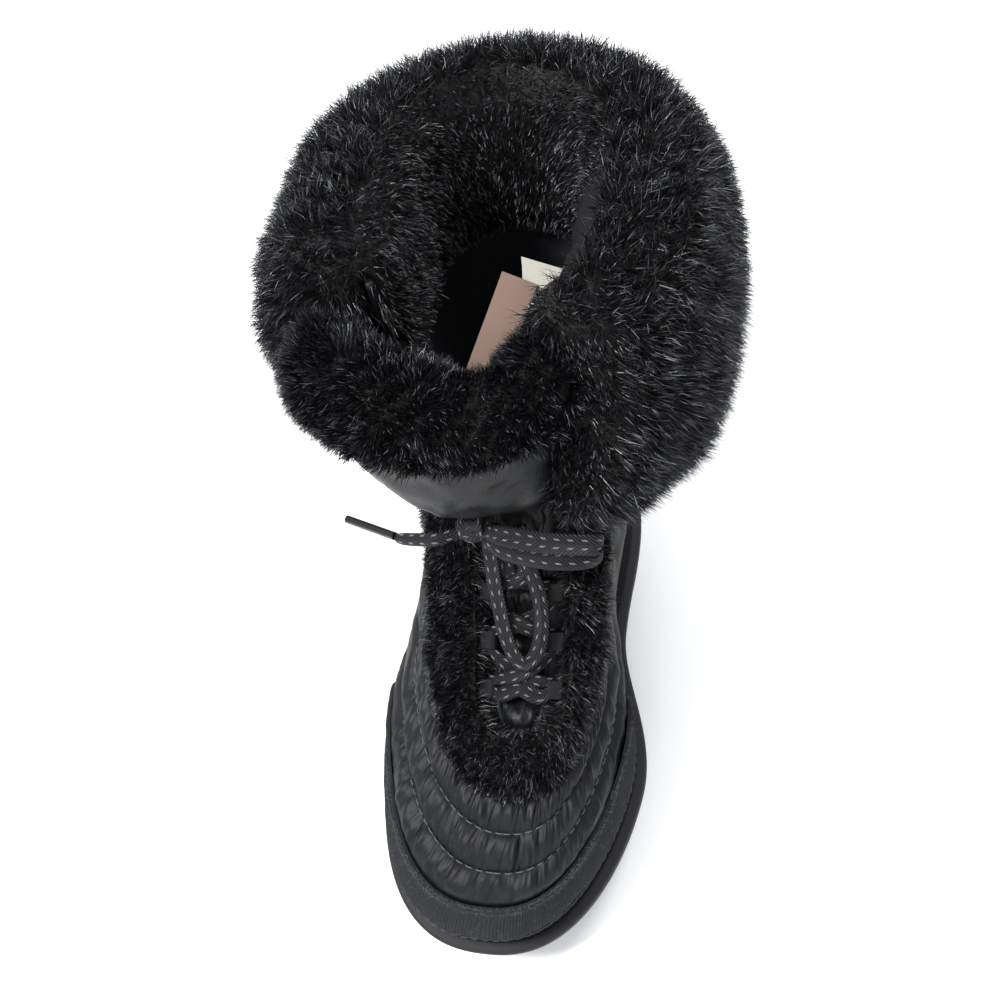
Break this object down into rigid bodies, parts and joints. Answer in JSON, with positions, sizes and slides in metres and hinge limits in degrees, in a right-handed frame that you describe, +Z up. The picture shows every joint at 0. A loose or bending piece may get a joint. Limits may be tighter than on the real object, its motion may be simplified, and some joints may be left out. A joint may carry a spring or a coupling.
{
  "type": "snow boot",
  "caption": "Lace-up quilted snow boot with a fold-down fur cuff, a fur-topped tongue, a fur instep panel, a toe mudguard and a lugged rubber outsole.",
  "frame": {"origin": "middle of the boot's bounding box, on the floor under the sole", "axes": "+Z up, toe towards -Y, heel towards +Y, +X towards the inner (big toe) side of a right foot"},
  "size_m": [0.1772, 0.3064, 0.2529],
  "materials": {
    "nylon": "satin woven nylon",
    "mudguard": "matte ribbed textile",
    "fur": "deep-pile faux fur",
    "rubber": "matte",
    "lining": "matte knitted lining",
    "lace": "flat braid with pale flecks",
    "webbing": "matte webbing",
    "aglet": "gloss",
    "label": "matte woven tape"
  },
  "bodies": {
    "root": {"outsole": "rubber", "insole": "lining", "upper": "nylon", "mudguard": "mudguard", "fur_panel": "fur", "tongue": "nylon", "tongue_fur": "fur", "cuff": "fur", "lace_crossings": "lace", "lace_knot": "lace", "bow_loop": "lace", "lace_end": "lace", "drop_loop": "lace", "aglet": "aglet", "size_label": "label", "care_label": "label", "lace_loop_inner_1": "webbing", "lace_loop_inner_2": "webbing", "lace_loop_inner_3": "webbing", "lace_loop_outer_1": "webbing", "lace_loop_outer_2": "webbing", "lace_loop_outer_3": "webbing"}
  },
  "joints": []
}
